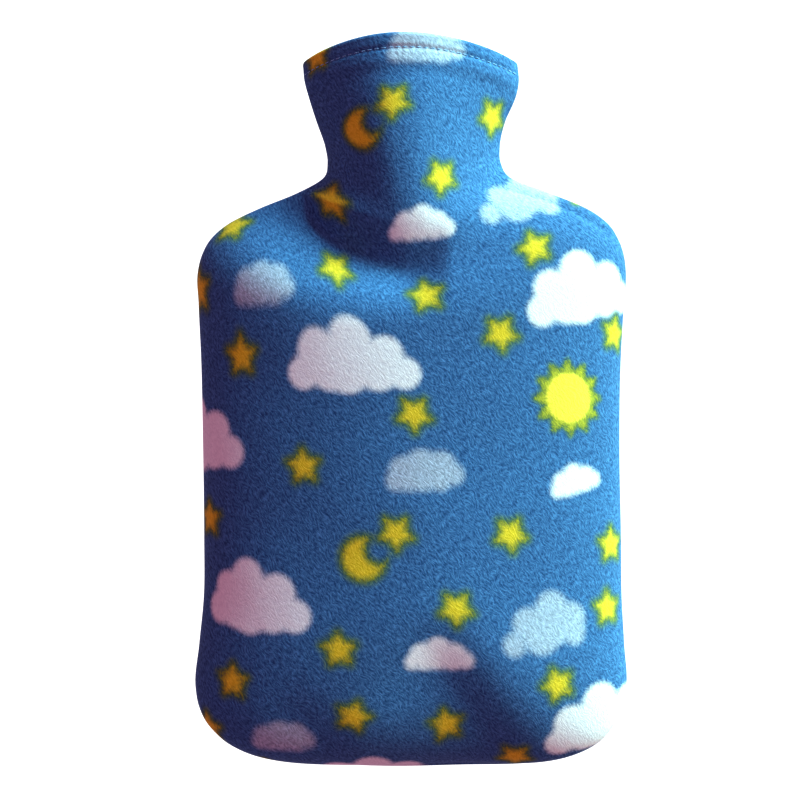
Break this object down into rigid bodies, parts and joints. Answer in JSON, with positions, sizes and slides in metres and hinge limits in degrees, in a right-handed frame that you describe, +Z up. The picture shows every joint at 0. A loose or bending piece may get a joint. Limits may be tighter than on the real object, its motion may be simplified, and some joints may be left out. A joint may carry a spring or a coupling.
{
  "type": "hot water bottle cover",
  "caption": "Soft fleece cover for a hot water bottle, sewn at the sides, with rounded shoulders and a flared, hemmed collar open at its rim, printed with clouds and stars.",
  "frame": {"origin": "middle of the cover's footprint, on the surface that its back lies on", "axes": "+X across the cover to the right of its face, +Y along it from the closed end to the collar, +Z up out of its face"},
  "size_m": [0.2, 0.3334, 0.065],
  "materials": {
    "printed_fleece": "matt brushed polyester fleece, printed with clouds, stars, moons and suns"
  },
  "bodies": {
    "root": {"front_panel": "printed_fleece", "back_panel": "printed_fleece"}
  },
  "joints": []
}
